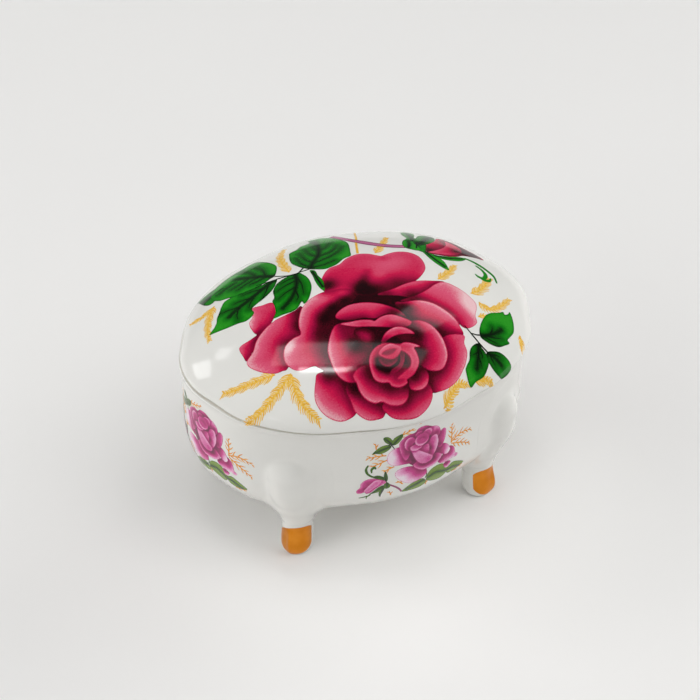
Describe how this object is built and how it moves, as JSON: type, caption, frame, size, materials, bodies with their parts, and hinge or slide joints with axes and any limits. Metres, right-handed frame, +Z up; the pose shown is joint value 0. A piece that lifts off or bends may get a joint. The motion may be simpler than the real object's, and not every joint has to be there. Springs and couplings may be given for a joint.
{
  "type": "footed trinket box",
  "caption": "Oval scalloped porcelain trinket box on four gilt-toed feet, with a domed lift-off lid and printed rose decals.",
  "frame": {"origin": "middle of the four feet on the surface the box stands on, which is the bottom centre of the bowl's outline", "axes": "+X along the box's length, -Y the front long side with its decal, +Z up"},
  "size_m": [0.1005, 0.081, 0.0659],
  "materials": {
    "porcelain": "gloss",
    "gilding": "satin",
    "lid_print": "gloss",
    "wall_print": "gloss"
  },
  "bodies": {
    "base": {"bowl": "porcelain", "foot_front_left": "porcelain", "foot_front_right": "porcelain", "foot_rear_left": "porcelain", "foot_rear_right": "porcelain", "toe_gilding_front_left": "gilding", "toe_gilding_front_right": "gilding", "toe_gilding_rear_left": "gilding", "toe_gilding_rear_right": "gilding", "decal_front": "wall_print", "decal_rear": "wall_print", "decal_left_end": "wall_print", "decal_right_end": "wall_print"},
    "lid": {"lid": "porcelain", "lid_flange": "porcelain", "lid_decal": "lid_print"}
  },
  "joints": [
    {"name": "lid_lift", "type": "slide", "parent": "base", "child": "lid", "axis": [0, 0, 1], "range_m": [0, 0.06]}
  ]
}
